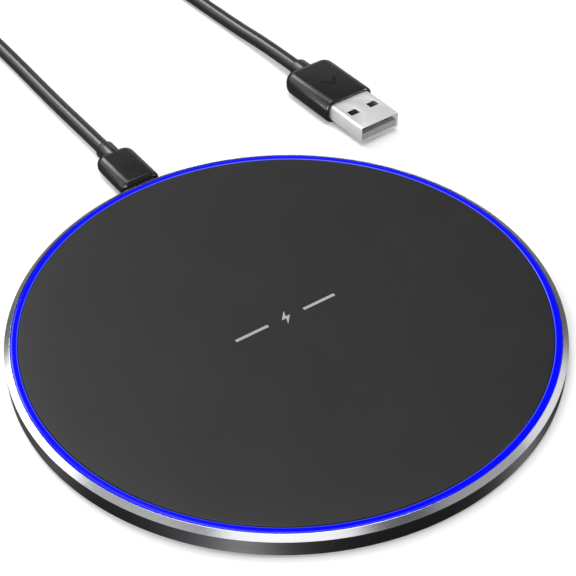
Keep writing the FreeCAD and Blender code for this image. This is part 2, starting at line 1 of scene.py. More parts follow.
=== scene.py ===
import bpy
import math
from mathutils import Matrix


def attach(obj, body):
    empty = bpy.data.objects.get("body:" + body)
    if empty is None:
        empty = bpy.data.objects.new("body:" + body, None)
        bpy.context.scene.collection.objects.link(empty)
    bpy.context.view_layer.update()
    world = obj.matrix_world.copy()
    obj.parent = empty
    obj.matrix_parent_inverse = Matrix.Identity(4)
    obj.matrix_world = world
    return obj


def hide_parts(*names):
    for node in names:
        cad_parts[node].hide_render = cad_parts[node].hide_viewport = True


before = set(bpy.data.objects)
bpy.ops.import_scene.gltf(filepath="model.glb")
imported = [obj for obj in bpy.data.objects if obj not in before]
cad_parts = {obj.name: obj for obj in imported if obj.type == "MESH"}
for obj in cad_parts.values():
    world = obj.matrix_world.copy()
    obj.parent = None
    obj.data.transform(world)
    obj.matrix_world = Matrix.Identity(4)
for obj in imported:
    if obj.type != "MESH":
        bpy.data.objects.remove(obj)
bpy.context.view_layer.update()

# ---------------------------------------------------------------- camera

# A long lens, a third of a metre from the pad and well above it, tilted by under a degree.
camera = bpy.data.objects.new("camera", bpy.data.cameras.new("camera"))
bpy.context.collection.objects.link(camera)
camera.location = (-0.12620, -0.18737, 0.21313)
camera.rotation_euler = [math.radians(a) for a in (48.567, 0.667, -34.689)]
camera.data.lens = 89.575
camera.data.sensor_width = 36
camera.data.clip_start = 0.01
bpy.context.scene.camera = camera
bpy.context.scene.view_settings.view_transform = "Standard"

# ---------------------------------------------------------------- the lead's cord

# Round black PVC cord, one metre long. It leaves the small plug, runs back over the table, is
# wound there in two layers with its spare length, and comes back to the large plug.
CORD_R = 0.0019
COIL_X, COIL_Y = 0.0279, 0.1986
COIL_MIDDLE_R = 0.0222
COIL_PITCH, COIL_TURNS = 0.0039, 5.5
COIL_OUT_R = COIL_MIDDLE_R + COIL_PITCH * COIL_TURNS / 4
POINTS_PER_TURN = 14
CLIMB = 0.25                    # part of a turn in which the cord climbs to the second layer
TIE_TURN, TIE_REACH = 0.75, 0.11    # where in each turn the tie is, and how near to it the cord lifts
TIE_LIFT = 0.00055

from_small_plug = [
    (0, 0.0800, 0.00255), (0, 0.0910, 0.00245), (0.0001, 0.1070, CORD_R),
    (0.0005, 0.1360, CORD_R), (-0.0001, 0.1670, CORD_R)]
to_large_plug = [
    (0.0556, 0.1840, 0.0050), (0.0566, 0.1600, CORD_R), (0.0579, 0.1340, CORD_R),
    (0.0592, 0.1100, CORD_R), (0.0596, 0.0950, 0.0031), (0.0598, 0.0811, 0.0034)]

coil_points = []
half = COIL_TURNS / 2
for i in range(int(COIL_TURNS * POINTS_PER_TURN) + 1):
    turn = i / POINTS_PER_TURN
    radius = COIL_OUT_R - COIL_PITCH * (turn if turn < half else COIL_TURNS - turn)
    climbed = min(max((turn - half + CLIMB) / CLIMB, 0), 1)
    height = CORD_R + COIL_PITCH * climbed * climbed * (3 - 2 * climbed)
    past_tie = (turn - TIE_TURN) % 1
    if min(past_tie, 1 - past_tie) < TIE_REACH and climbed == 0:
        height += TIE_LIFT
    angle = math.pi - 2 * math.pi * turn
    coil_points.append((COIL_X + radius * math.cos(angle), COIL_Y + radius * math.sin(angle), height))

cord_line = bpy.data.curves.new("lead_cord", "CURVE")
cord_line.dimensions = "3D"
spline = cord_line.splines.new("NURBS")
route = from_small_plug + coil_points + to_large_plug
spline.points.add(len(route) - 1)
for point, place in zip(spline.points, route):
    point.co = (*place, 1)
spline.order_u = 3
spline.use_endpoint_u = True
spline.resolution_u = 8
cord_line.bevel_depth = CORD_R
cord_line.bevel_resolution = 7
cord_line.use_fill_caps = True
cord = bpy.data.objects.new("lead_cord", cord_line)
bpy.context.collection.objects.link(cord)


def new_material(name):
    """A material with its node tree and its Principled shader."""
    material = bpy.data.materials.new(name)
    material.use_nodes = True
    return material, material.node_tree, material.node_tree.nodes["Principled BSDF"]


def new_group(name, inputs, outputs):
    """An empty shader node group; inputs are (name, socket kind, default) and outputs (name, kind)."""
    tree = bpy.data.node_groups.new(name, "ShaderNodeTree")
    for label, kind, value in inputs:
        socket = tree.interface.new_socket(label, in_out="INPUT", socket_type=kind)
        socket.default_value = value
    for label, kind in outputs:
        tree.interface.new_socket(label, in_out="OUTPUT", socket_type=kind)
    return tree, tree.nodes.new("NodeGroupInput"), tree.nodes.new("NodeGroupOutput")


def feed(tree, socket, value):
    """Gives an input its value: a number, an RGB triple, or the output socket that it is linked to."""
    if isinstance(value, (int, float)):
        socket.default_value = value
    elif isinstance(value, tuple):
        socket.default_value = (*value, 1)
    else:
        tree.links.new(value, socket)


def math_node(tree, operation, *values, clamp=False):
    """A Math node in a tree, fed with sockets or plain numbers; returns its output."""
    node = tree.nodes.new("ShaderNodeMath")
    node.operation = operation
    node.use_clamp = clamp
    for socket, value in zip(node.inputs, values):
        feed(tree, socket, value)
    return node.outputs[0]


def mixed_colour(tree, factor, dark, light):
    """A Mix node between two colours, each a socket or an RGB triple; returns its output."""
    node = tree.nodes.new("ShaderNodeMix")
    node.data_type = "RGBA"
    for label, value in (("Factor", factor), ("A", dark), ("B", light)):
        feed(tree, node.inputs[label], value)
    return node.outputs["Result"]


def noise(tree, vector, scale, detail):
    """A Noise Texture node in a tree; returns its grey output."""
    node = tree.nodes.new("ShaderNodeTexNoise")
    for label, value in (("Vector", vector), ("Scale", scale), ("Detail", detail)):
        feed(tree, node.inputs[label], value)
    return node.outputs["Fac"]


def bumped(tree, height, distance, strength):
    """A Bump node in a tree; returns its normal."""
    node = tree.nodes.new("ShaderNodeBump")
    for label, value in (("Height", height), ("Distance", distance), ("Strength", strength)):
        feed(tree, node.inputs[label], value)
    return node.outputs["Normal"]


def object_place(tree):
    """The place on the object, for a pattern that stays on its surface."""
    return tree.nodes.new("ShaderNodeTexCoord").outputs["Object"]


def placed_group(tree, group, shader, values):
    """Puts a node group in a material, with values by the names of its inputs. Its roughness and
    normal feed the shader; returns its outputs."""
    node = tree.nodes.new("ShaderNodeGroup")
    node.node_tree = group
    for label, value in values.items():
        feed(tree, node.inputs[label], value)
    for label in ("Roughness", "Normal"):
        tree.links.new(node.outputs[label], shader.inputs[label])
    return node.outputs


# The grain that a spark-eroded mould leaves on plastic: fine pits, and slow cloudy changes of
# colour and gloss from the melt's flow and from hands.
moulded, group_in, group_out = new_group(
    "moulded_grain",
    [("Colour", "NodeSocketColor", (0.02, 0.02, 0.02, 1)), ("Grain Size", "NodeSocketFloat", 0.0002),
     ("Roughness", "NodeSocketFloat", 0.4), ("Spread", "NodeSocketFloat", 0.08),
     ("Depth", "NodeSocketFloat", 0.3)],
    [("Colour", "NodeSocketColor"), ("Roughness", "NodeSocketFloat"), ("Normal", "NodeSocketVector")])
place = object_place(moulded)
pits = noise(moulded, place, math_node(moulded, "DIVIDE", 1, group_in.outputs["Grain Size"]), detail=4)
clouds = noise(moulded, place, scale=90, detail=3)
cloud = math_node(moulded, "SUBTRACT", clouds, 0.5)
pit = math_node(moulded, "SUBTRACT", pits, 0.5)
tint = moulded.nodes.new("ShaderNodeVectorMath")
tint.operation = "SCALE"
moulded.links.new(group_in.outputs["Colour"], tint.inputs[0])
moulded.links.new(
    math_node(moulded, "MULTIPLY_ADD", cloud, 0.5, math_node(moulded, "MULTIPLY_ADD", pit, 0.6, 1)),
    tint.inputs["Scale"])
moulded.links.new(tint.outputs[0], group_out.inputs["Colour"])
moulded.links.new(
    math_node(moulded, "MULTIPLY_ADD", math_node(moulded, "ADD", cloud, pit),
              group_in.outputs["Spread"], group_in.outputs["Roughness"]), group_out.inputs["Roughness"])
moulded.links.new(bumped(moulded, pits, 0.00003, group_in.outputs["Depth"]), group_out.inputs["Normal"])


def plastic(name, colour, grain=0.0002, roughness=0.4, spread=0.08, depth=0.3, specular=0.5):
    """Moulded plastic or rubber of one colour."""
    material, tree, shader = new_material(name)
    shader.inputs["Specular IOR Level"].default_value = specular
    grained = placed_group(tree, moulded, shader, {
        "Colour": colour, "Grain Size": grain, "Roughness": roughness, "Spread": spread, "Depth": depth})
    tree.links.new(grained["Colour"], shader.inputs["Base Color"])
    return material


cord.data.materials.append(plastic("cord_pvc", (0.008, 0.008, 0.0085), grain=0.00035,
                                   roughness=0.28, spread=0.1, depth=0.15))
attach(cord, "lead")
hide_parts("cable_pad_run", "cable_coil", "cable_plug_run")

# ---------------------------------------------------------------- twist tie on the spare turns

# Thin plastic strip with a wire in it, wrapped once round the wound turns. Its two ends are
# twisted together and lie on top.
TIE_Y = (0.1685, 0.1843)
TIE_HALF_WIDTH, TIE_THICKNESS = 0.0020, 0.0004
TIE_BOTTOM, TIE_TOP = 0.00005, 0.0087
TAIL_HALF = (0.0060, 0.0007, 0.00025)
TAIL_PLACE = (COIL_X + 0.0076, COIL_Y - 0.0201, 0.0090)


def select_none():
    """Deselects every object."""
    bpy.ops.object.select_all(action="DESELECT")


def select_only(piece):
    """Back to object mode, with one piece selected and active."""
    bpy.ops.object.mode_set(mode="OBJECT")
    select_none()
    piece.select_set(True)
    bpy.context.view_layer.objects.active = piece


def start_piece(name):
    """Names the primitive that was just added, and opens it for editing with nothing selected."""
    piece = bpy.context.object
    piece.name = piece.data.name = name
    bpy.ops.object.transform_apply(location=True, rotation=True, scale=True)
    bpy.ops.object.mode_set(mode="EDIT")
    bpy.ops.mesh.select_all(action="DESELECT")
    bpy.ops.object.mode_set(mode="OBJECT")
    return piece


def box_piece(name, low, high):
    """A box between two corners, to be shaped further."""
    select_none()
    middle = [(a + b) / 2 for a, b in zip(low, high)]
    bpy.ops.mesh.primitive_cube_add(size=1, location=middle, scale=[b - a for a, b in zip(low, high)])
    return start_piece(name)


def pick(piece, kind, wanted):
    """Goes into edit mode with only those faces, or those edges by their ends, that wanted() picks."""
    select_only(piece)
    bpy.ops.object.mode_set(mode="EDIT")
    bpy.ops.mesh.select_mode(type=kind)
    bpy.ops.mesh.select_all(action="DESELECT")
    bpy.ops.object.mode_set(mode="OBJECT")
    points = piece.data.vertices
    if kind == "FACE":
        for face in piece.data.polygons:
            face.select = bool(wanted(face))
    else:
        for edge in piece.data.edges:
            edge.select = bool(wanted(points[edge.vertices[0]].co, points[edge.vertices[1]].co))
    bpy.ops.object.mode_set(mode="EDIT")


def finished(piece, smooth_angle=35):
    """Back to object mode, smooth shaded up to an angle."""
    select_only(piece)
    bpy.ops.object.shade_smooth_by_angle(angle=math.radians(smooth_angle))
    return piece


def modified(piece, kind, **values):
    """Adds a modifier with these values and applies it."""
    select_only(piece)
    modifier = piece.modifiers.new(kind.lower(), kind)
    for label, value in values.items():
        setattr(modifier, label, value)
    bpy.ops.object.modifier_apply(modifier=modifier.name)
    return piece


def put(piece, place, turn=0.0):
    """Turns a piece about Z, moves it to its place, and applies both to its mesh."""
    select_only(piece)
    piece.rotation_euler.z = turn
    piece.location = place
    bpy.ops.object.transform_apply(location=True, rotation=True, scale=True)
    return piece


tie = box_piece("twist_tie", (COIL_X - TIE_HALF_WIDTH, TIE_Y[0], TIE_BOTTOM),
                (COIL_X + TIE_HALF_WIDTH, TIE_Y[1], TIE_TOP))
pick(tie, "FACE", lambda f: abs(f.normal.x) > 0.9)
bpy.ops.mesh.delete(type="FACE")
pick(tie, "EDGE", lambda a, b: abs(a.x - b.x) > 0.001)
bpy.ops.mesh.bevel(offset=0.0012, segments=5, affect="EDGES")
modified(tie, "SOLIDIFY", thickness=TIE_THICKNESS, offset=-1)
modified(tie, "BEVEL", width=0.00012, segments=2, limit_method="ANGLE", angle_limit=math.radians(60))
finished(tie)
twist = box_piece("twist_tail", [-half for half in TAIL_HALF], TAIL_HALF)
pick(twist, "EDGE", lambda a, b: abs(a.x - b.x) > 0.001)
bpy.ops.mesh.subdivide(number_cuts=60)
modified(twist, "SIMPLE_DEFORM", deform_method="TWIST", deform_axis="X", angle=math.radians(900))
finished(twist, 50)
put(twist, TAIL_PLACE, turn=math.radians(20))
tie.select_set(True)
bpy.context.view_layer.objects.active = tie
bpy.ops.object.join()
tie.data.materials.append(plastic("tie_strip", (0.02, 0.02, 0.021), grain=0.0006, roughness=0.5,
                                  depth=0.4))
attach(tie, "lead")
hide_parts("cable_tie")

# ---------------------------------------------------------------- floor and light

# A plain white table top under broad soft lamps. Three low strip lamps, with dark gaps between
# them, put the bright bands on the rim's side. Gloss sees the table dark, as with black flags.
select_none()
bpy.ops.mesh.primitive_plane_add(size=6, location=(0, 0, 0))
floor = bpy.context.object
floor.name = "floor"
bpy.ops.object.mode_set(mode="EDIT")
bpy.ops.mesh.subdivide(number_cuts=3)
bpy.ops.object.mode_set(mode="OBJECT")
table, tree, white = new_material("table_white")
grey = tree.nodes.new("ShaderNodeBsdfPrincipled")
for shader, colour in ((white, 0.93), (grey, 0.09)):
    shader.inputs["Base Color"].default_value = (colour, colour, colour, 1)
    shader.inputs["Roughness"].default_value = 0.9
    shader.inputs["Specular IOR Level"].default_value = 0.1


def either_way(tree, ray_kind, usual, for_rays, output):
    """Feeds an output with one shader, or with another for rays of one kind."""
    rays = tree.nodes.new("ShaderNodeLightPath")
    either = tree.nodes.new("ShaderNodeMixShader")
    tree.links.new(rays.outputs[ray_kind], either.inputs[0])
    tree.links.new(usual.outputs[0], either.inputs[1])
    tree.links.new(for_rays.outputs[0], either.inputs[2])
    tree.links.new(either.outputs[0], tree.nodes[output].inputs["Surface"])


either_way(tree, "Is Glossy Ray", white, grey, "Material Output")
floor.data.materials.append(table)

world = bpy.data.worlds.new("studio")
bpy.context.scene.world = world
world.use_nodes = True
room = world.node_tree.nodes["Background"]
room.inputs["Color"].default_value = (0.96, 0.97, 1.0, 1)
room.inputs["Strength"].default_value = 0.07
backdrop = world.node_tree.nodes.new("ShaderNodeBackground")
backdrop.inputs["Color"].default_value = (1, 1, 1, 1)
either_way(world.node_tree, "Is Camera Ray", room, backdrop, "World Output")


def softbox(name, azimuth, elevation, width, height, power, distance=1.4):
    """A soft lamp that faces the pad; azimuth from +Y towards +X, and elevation, in degrees."""
    a, e = math.radians(azimuth), math.radians(elevation)
    lamp = bpy.data.objects.new(name, bpy.data.lights.new(name, "AREA"))
    bpy.context.collection.objects.link(lamp)
    lamp.location = (distance * math.sin(a) * math.cos(e), distance * math.cos(a) * math.cos(e),
                     distance * math.sin(e))
    lamp.rotation_euler = (math.pi / 2 - e, 0, math.pi - a)
    lamp.data.shape = "RECTANGLE"
    lamp.data.size, lamp.data.size_y = width, height
    lamp.data.energy = power
    return lamp


softbox("lamp_overhead", 34, 86, 0.9, 0.9, 11)
softbox("lamp_back", 40, 29, 1.3, 0.30, 0.5)
softbox("lamp_window", -9, 38, 0.52, 0.42, 6.5)
softbox("lamp_far", 40, 8, 1.6, 0.26, 1.8)
softbox("lamp_front", 214, 56, 0.9, 0.42, 1.2)
softbox("lamp_right", 100, 22, 0.9, 0.5, 1.0)
softbox("lamp_low", 237, 27, 0.9, 0.6, 9)
softbox("lamp_left", -40, 25, 1.1, 0.66, 3.8)
softbox("lamp_fill_left", -78, 47, 0.9, 0.5, 0.45)
softbox("lamp_fill_right", 132, 41, 0.8, 0.5, 0.3)
softbox("lamp_sky", 2, 63, 0.6, 0.5, 2.4)
softbox("strip_front", -131, 10, 0.30, 0.5, 16)
softbox("strip_right", 128, 9, 0.30, 0.3, 11)
softbox("strip_left", -61, 7, 0.22, 0.3, 4.0)

# ---------------------------------------------------------------- rim

# Ring turned from aluminium bar and anodised dark grey, then its top edge cut bright with a
# diamond tool. Ledges inside it carry the light guide and the base; the socket's mouth is milled.
PAD_R, PAD_TOP = 0.0600, 0.0054
CHAMFER_FOOT, CHAMFER_IN = 0.0045, 0.05871
RIM_SECTION = [
    (0.05850, 0.00060), (0.05975, 0.00060), (PAD_R, 0.00085), (PAD_R, CHAMFER_FOOT), (CHAMFER_IN, PAD_TOP),
    (0.05866, 0.00537), (0.05866, 0.00350), (0.05740, 0.00350), (0.05740, 0.00140), (0.05850, 0.00140)]


def turned_piece(name, section, closed=True, around=256):
    """A turned shape: a circle is extruded and resized along a (radius, height) section.
    A section that isn't closed ends in flat faces across its first and last circle."""
    select_none()
    last_radius, last_height = section[0]
    bpy.ops.mesh.primitive_circle_add(vertices=around, radius=last_radius, location=(0, 0, last_height))
    piece = bpy.context.object
    piece.name = piece.data.name = name
    bpy.ops.object.transform_apply(location=True, rotation=True, scale=True)
    bpy.ops.object.mode_set(mode="EDIT")
    bpy.ops.mesh.select_mode(type="EDGE")
    bpy.ops.mesh.select_all(action="SELECT")
    if not closed:
        bpy.ops.mesh.edge_face_add()
        bpy.ops.mesh.select_all(action="SELECT")
    for radius, height in section[1:]:
        rise = {"value": (0, 0, height - last_height)}
        if closed:
            bpy.ops.mesh.extrude_edges_move(TRANSFORM_OT_translate=rise)
        else:
            bpy.ops.mesh.extrude_region_move(TRANSFORM_OT_translate=rise)
        scale = radius / last_radius
        bpy.ops.transform.resize(value=(scale, scale, 1), center_override=(0, 0, height))
        last_radius, last_height = radius, height
    if closed:
        bpy.ops.mesh.select_all(action="DESELECT")
        bpy.ops.mesh.select_non_manifold()
        bpy.ops.mesh.bridge_edge_loops()
    bpy.ops.mesh.select_all(action="SELECT")
    bpy.ops.mesh.normals_make_consistent(inside=False)
    bpy.ops.object.mode_set(mode="OBJECT")
    return piece


def cut_out(piece, cutter):
    """Takes the cutter's shape out of the piece and removes the cutter."""
    modified(piece, "BOOLEAN", operation="DIFFERENCE", solver="EXACT", object=cutter)
    bpy.data.objects.remove(cutter, do_unlink=True)
    return piece


def rounded_cutter(name, low, high, axis, radius):
    """A box whose four edges along one axis are rounded, for cutting a slot."""
    cutter = box_piece(name, low, high)
    pick(cutter, "EDGE", lambda a, b: abs((a - b)[axis]) > 1e-6)
    bpy.ops.mesh.bevel(offset=radius, segments=8, affect="EDGES")
    bpy.ops.object.mode_set(mode="OBJECT")
    return cutter


Y_AXIS, Z_AXIS = 1, 2
rim = turned_piece("rim", RIM_SECTION)
cut_out(rim, rounded_cutter("socket_mill", (-0.0041, 0.050, 0.0011), (0.0041, 0.062, 0.0040), Y_AXIS,
                            radius=0.0009))
modified(rim, "BEVEL", width=0.00006, segments=2, limit_method="ANGLE", angle_limit=math.radians(30))
finished(rim, 12)

# Tool marks of turning: fine lines that run round the Z axis, with slow uneven patches.
lathe, group_in, group_out = new_group(
    "lathe_lines",
    [("Line Width", "NodeSocketFloat", 0.0001), ("Roughness", "NodeSocketFloat", 0.3),
     ("Spread", "NodeSocketFloat", 0.1), ("Depth", "NodeSocketFloat", 0.1)],
    [("Lines", "NodeSocketFloat"), ("Roughness", "NodeSocketFloat"), ("Normal", "NodeSocketVector")])
split = lathe.nodes.new("ShaderNodeSeparateXYZ")
lathe.links.new(object_place(lathe), split.inputs[0])
x, y, z = split.outputs
across = math_node(lathe, "SQRT", math_node(
    lathe, "ADD", math_node(lathe, "MULTIPLY", x, x), math_node(lathe, "MULTIPLY", y, y)))
flat = lathe.nodes.new("ShaderNodeCombineXYZ")
lathe.links.new(x, flat.inputs[0])
lathe.links.new(y, flat.inputs[1])
around = lathe.nodes.new("ShaderNodeVectorMath")
around.operation = "NORMALIZE"
lathe.links.new(flat.outputs[0], around.inputs[0])
slow = lathe.nodes.new("ShaderNodeVectorMath")
slow.operation = "SCALE"
slow.inputs["Scale"].default_value = 2.5
lathe.links.new(around.outputs[0], slow.inputs[0])
fast = lathe.nodes.new("ShaderNodeCombineXYZ")
for operation, socket in (("ADD", fast.inputs[0]), ("SUBTRACT", fast.inputs[2])):
    lathe.links.new(
        math_node(lathe, "DIVIDE", math_node(lathe, operation, across, z), group_in.outputs["Line Width"]),
        socket)
place = lathe.nodes.new("ShaderNodeVectorMath")
lathe.links.new(slow.outputs[0], place.inputs[0])
lathe.links.new(fast.outputs[0], place.inputs[1])
lines = noise(lathe, place.outputs[0], scale=1, detail=2)
lathe.links.new(lines, group_out.inputs["Lines"])
lathe.links.new(
    math_node(lathe, "MULTIPLY_ADD", math_node(lathe, "SUBTRACT", lines, 0.5),
              group_in.outputs["Spread"], group_in.outputs["Roughness"]), group_out.inputs["Roughness"])
lathe.links.new(bumped(lathe, lines, 0.00002, group_in.outputs["Depth"]), group_out.inputs["Normal"])


def turned_metal(name, dark, light, line_width, roughness, spread, depth, stretched=0.0):
    """Metal with the lathe's lines, between two colours; they stretch its highlights."""
    material, tree, shader = new_material(name)
    shader.inputs["Metallic"].default_value = 1
    shader.inputs["Anisotropic"].default_value = stretched
    shader.inputs["Anisotropic Rotation"].default_value = 0.25
    tangent = tree.nodes.new("ShaderNodeTangent")
    tangent.direction_type = "RADIAL"
    tangent.axis = "Z"
    tree.links.new(tangent.outputs[0], shader.inputs["Tangent"])
    lined = placed_group(tree, lathe, shader, {
        "Line Width": line_width, "Roughness": roughness, "Spread": spread, "Depth": depth})
    tree.links.new(mixed_colour(tree, lined["Lines"], dark, light), shader.inputs["Base Color"])
    return material


# The bright cut is on the chamfer only: on faces above its foot that look mostly upwards.
rim.data.materials.append(turned_metal(
    "rim_anodised", (0.05, 0.05, 0.054), (0.10, 0.10, 0.106), line_width=0.00012, roughness=0.45,
    spread=0.14, depth=0.25, stretched=0.9))
rim.data.materials.append(turned_metal(
    "rim_bright_cut", (0.86, 0.87, 0.90), (0.95, 0.96, 0.98), line_width=0.00006, roughness=0.20,
    spread=0.06, depth=0.06))
for face in rim.data.polygons:
    if face.center.z > CHAMFER_FOOT and face.normal.z > 0.7:
        face.material_index = 1
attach(rim, "pad")
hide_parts("rim_frame")

# ---------------------------------------------------------------- lit ring

# Clear acrylic ring, lit blue from below by lamps on the board. Its flange lies on the rim's
# ledge, under the edge of the top cover, which holds it down. Its glow has a painted highlight, a paler line
# near its inner edge.
GUIDE_MIDDLE_R, GUIDE_HALF = 0.057835, 0.000785
GUIDE_TOP, GUIDE_CROWN = 0.00538, 0.00017
crown = [(GUIDE_MIDDLE_R + GUIDE_HALF * s, GUIDE_TOP - GUIDE_CROWN * s ** 4)
         for s in (-1, -0.92, -0.84, -0.74, -0.62, -0.48, -0.3, 0, 0.3, 0.48, 0.62, 0.74, 0.84, 0.92, 1)]
lit_ring = turned_piece("lit_ring", crown + [
    (0.05862, 0.00354), (0.05520, 0.00354), (0.05520, 0.00438), (0.05705, 0.00438)])
cut_out(lit_ring, rounded_cutter("guide_notch", (-0.0049, 0.050, 0.0), (0.0049, 0.0625, 0.0041), Y_AXIS,
                                 radius=0.0003))
modified(lit_ring, "BEVEL", width=0.00008, segments=3, limit_method="ANGLE", angle_limit=math.radians(50))
finished(lit_ring, 30)

# From the outside inwards: the blue core, the paler line of painted highlight, and the dark blue edge of
# painted shade in the gap by the cover.
CORE_BLUE = (0.0, 0.0003, 0.80), (0.0, 0.0012, 0.95)
# Painted highlight: the paler line near the inner edge stands in for light caught on that edge.
PAINTED_HIGHLIGHT, PAINTED_HIGHLIGHT_R = (0.085, 0.11, 0.95), (0.05718, 0.05738)
# Painted shade: the dark blue edge stands in for shade in the gap next to the top cover.
PAINTED_GAP_SHADE, PAINTED_GAP_SHADE_R = (0.0, 0.0, 0.07), (0.05703, 0.05716)
acrylic, tree, shader = new_material("lit_acrylic")
shader.inputs["Specular IOR Level"].default_value = 0.25
shader.inputs["Emission Strength"].default_value = 1.0
place = object_place(tree)
haze = noise(tree, place, scale=600, detail=3)
tree.links.new(mixed_colour(tree, haze, (0.0, 0.0004, 0.06), (0.0, 0.001, 0.10)), shader.inputs["Base Color"])
split = tree.nodes.new("ShaderNodeSeparateXYZ")
tree.links.new(place, split.inputs[0])
flat = tree.nodes.new("ShaderNodeCombineXYZ")
tree.links.new(split.outputs["X"], flat.inputs["X"])
tree.links.new(split.outputs["Y"], flat.inputs["Y"])
from_middle = tree.nodes.new("ShaderNodeVectorMath")
from_middle.operation = "LENGTH"
tree.links.new(flat.outputs[0], from_middle.inputs[0])
glow = mixed_colour(tree, haze, *CORE_BLUE)
# The painted highlight and the painted shade are laid on the glow by radius.
for (low, high), inner in ((PAINTED_HIGHLIGHT_R, PAINTED_HIGHLIGHT), (PAINTED_GAP_SHADE_R, PAINTED_GAP_SHADE)):
    edge = tree.nodes.new("ShaderNodeMapRange")
    edge.interpolation_type = "SMOOTHSTEP"
    edge.inputs["From Min"].default_value = low
    edge.inputs["From Max"].default_value = high
    tree.links.new(from_middle.outputs["Value"], edge.inputs["Value"])
    glow = mixed_colour(tree, edge.outputs[0], inner, glow)
tree.links.new(glow, shader.inputs["Emission Color"])
tree.links.new(math_node(tree, "MULTIPLY_ADD", haze, 0.1, 0.12), shader.inputs["Roughness"])
lit_ring.data.materials.append(acrylic)
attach(lit_ring, "pad")
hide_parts("light_ring")

# ---------------------------------------------------------------- top cover

# Injection-moulded ABS disc, painted with matte soft-touch lacquer. Four hollow bosses under it
# take the screws that come up through the base.
BOSS_CIRCLE_R = 0.0500
cover = turned_piece("top_cover_disc", [
    (0.0500, 0.00441), (0.05690, 0.00441), (0.05690, 0.00528), (0.05686, 0.00534), (0.05678, 0.00538),
    (0.05665, 0.00539), (0.0500, 0.00539)], closed=False)
finished(cover, 30)
boss = turned_piece("boss", [
    (0.00070, 0.00141), (0.00205, 0.00141), (0.00220, 0.00160), (0.00220, 0.00430), (0.00235, 0.00445),
    (0.00070, 0.00445)], around=32)
finished(boss, 30)
bosses = [boss]
for _ in range(3):
    copy = boss.copy()
    copy.data = boss.data.copy()
    bpy.context.collection.objects.link(copy)
    bosses.append(copy)
select_none()
for piece, angle in zip(bosses, (45, 135, 225, 315)):
    turn = math.radians(angle)
    piece.location = (BOSS_CIRCLE_R * math.cos(turn), BOSS_CIRCLE_R * math.sin(turn), 0)
    piece.select_set(True)
cover.select_set(True)
bpy.context.view_layer.objects.active = cover
bpy.ops.object.join()
cover.data.materials.append(plastic("soft_touch_lacquer", (0.0080, 0.0080, 0.0084), grain=0.00016,
                                    roughness=0.48, spread=0.05, depth=0.25, specular=0.32))
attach(cover, "pad")
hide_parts("top_cover")


def finish_node(node, material):
    """Gives a CAD node its material in every slot."""
    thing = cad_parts[node]
    if not thing.data.materials:
        thing.data.materials.append(material)
    for slot in thing.material_slots:
        slot.material = material


# The mark is light grey pad-printed ink in a shallow recess.
finish_node("charge_mark", plastic("mark_ink", (0.30, 0.30, 0.31), grain=0.0001, roughness=0.5, depth=0.2))

# ---------------------------------------------------------------- small plug

# Soft black grip, injected over the small plug's steel shell and inner moulding, and a round
# collar that keeps the cord from bending sharply where it comes out.
SOCKET_Z = 0.00255
SMALL_HALF, SMALL_FACE, SMALL_BACK = 0.0051, 0.0621, 0.0763


def grip_block(name, low, high, corner, edge):
    """A grip that points along -Y: a box whose two rear corners are rounded, and then its edges
    above and below. Its front is left flat, and the faces there are picked."""
    grip = box_piece(name, low, high)
    front = low[1] + 0.0001
    pick(grip, "EDGE", lambda a, b: abs(a.z - b.z) > 1e-4 and a.y > front)
    bpy.ops.mesh.bevel(offset=corner, segments=12, affect="EDGES")
    pick(grip, "EDGE", lambda a, b: abs(a.z - b.z) < 1e-6 and not (a.y < front and b.y < front))
    bpy.ops.mesh.bevel(offset=edge, segments=14, affect="EDGES")
    pick(grip, "FACE", lambda f: f.normal.y < -0.99)
    return grip


small_grip = grip_block("small_plug_grip", (-SMALL_HALF, SMALL_FACE, 0.00011),
                        (SMALL_HALF, SMALL_BACK, 0.004985), corner=0.0027, edge=0.0023)
bpy.ops.mesh.inset(thickness=0.0009, depth=0.0008)
bpy.ops.mesh.inset(thickness=0.0003, depth=0)
bpy.ops.transform.resize(value=(0.93, 1.0, 0.86), center_override=(0, 0, SOCKET_Z))
bpy.ops.mesh.extrude_region_move(TRANSFORM_OT_translate={"value": (0, 0.0014, 0)})
modified(small_grip, "BEVEL", width=0.00025, segments=3, limit_method="ANGLE", angle_limit=math.radians(28))
finished(small_grip, 35)
plug_rubber = plastic("plug_pvc", (0.0065, 0.0065, 0.007), grain=0.00022, roughness=0.27, spread=0.08,
                      depth=0.15)
small_grip.data.materials.append(plug_rubber)
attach(small_grip, "lead")
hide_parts("micro_overmould")


def collar(name, radius, length):
    """A round strain relief along +Y from the origin, with the cord through it. Its root is inside
    the grip, and its mouth is rounded."""
    root = -0.0020
    piece = turned_piece(name, [
        (CORD_R, root), (radius, root), (radius, length - 0.0005), (radius - 0.00008, length - 0.00022),
        (radius - 0.00022, length - 0.00008), (radius - 0.00045, length), (CORD_R + 0.00003, length),
        (CORD_R, length - 0.0001)], around=64)
    bpy.ops.object.mode_set(mode="EDIT")
    bpy.ops.mesh.select_all(action="SELECT")
    bpy.ops.transform.rotate(value=math.radians(90), orient_axis="X", center_override=(0, 0, 0))
    bpy.ops.object.mode_set(mode="OBJECT")
    return finished(piece, 40)


small_collar = put(collar("small_plug_collar", 0.00245, 0.0037), (0, SMALL_BACK, SOCKET_Z))
small_collar.data.materials.append(plug_rubber)
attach(small_collar, "lead")
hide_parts("micro_relief")

# ---------------------------------------------------------------- large plug

# Folded shell of plated steel with two windows above and two below for the socket's springs.
# It holds a moulded tongue with four contacts, and a soft black grip is injected over its end.
LARGE_TURN = math.radians(1.8)
LARGE_PLACE = (0.0598, 0.0811, 0)
SHELL_TIP, GRIP_FACE, GRIP_END = -0.0347, -0.0223, -0.0029
SHELL_HALF_WIDTH, SHELL_HALF_HEIGHT = 0.0060, 0.00225
LARGE_HALF = 0.0075
AXIS_Z = 0.0034


def laid(piece):
    """Lays a piece that was made pointing along -Y in the large plug's place."""
    return put(piece, LARGE_PLACE, LARGE_TURN)


